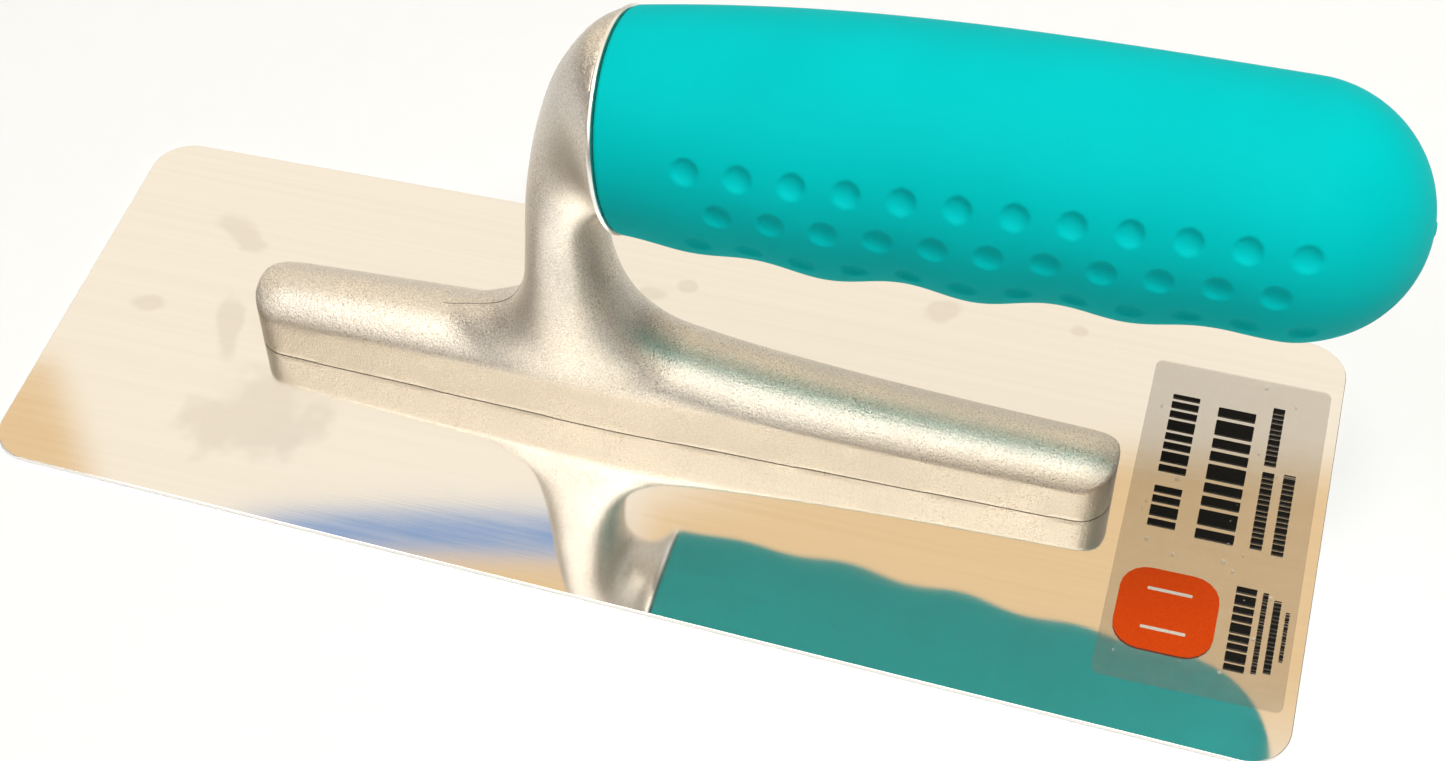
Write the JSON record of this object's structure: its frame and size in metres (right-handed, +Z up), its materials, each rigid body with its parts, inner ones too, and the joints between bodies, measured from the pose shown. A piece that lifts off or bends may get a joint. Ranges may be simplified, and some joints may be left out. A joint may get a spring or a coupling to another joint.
{
  "type": "finishing trowel",
  "caption": "Small steel finishing trowel with a tapered plate, a cast aluminium mount and a dimpled teal rubber handle.",
  "frame": {"origin": "centre of the blade's flat working face", "axes": "+X along the blade to its wide end, under the handle's free end; +Y across the blade; +Z up to the handle"},
  "size_m": [0.2026, 0.0796, 0.0848],
  "materials": {
    "blade_steel": "finely brushed, nearly mirror polished",
    "cast_aluminium": "tumbled casting, satin and grainy",
    "grip_rubber": "matte soft touch",
    "core_plastic": "moulded, semi matte",
    "stud_steel": "plain",
    "label_film": "clear printed film, semi gloss"
  },
  "bodies": {
    "root": {"blade": "blade_steel", "mount_casting": "cast_aluminium", "handle_grip": "grip_rubber", "handle_core": "core_plastic", "label": "label_film", "blade_stud_1": "stud_steel", "blade_stud_2": "stud_steel", "blade_stud_3": "stud_steel", "blade_stud_4": "stud_steel", "blade_stud_5": "stud_steel", "blade_stud_6": "stud_steel"}
  },
  "joints": []
}
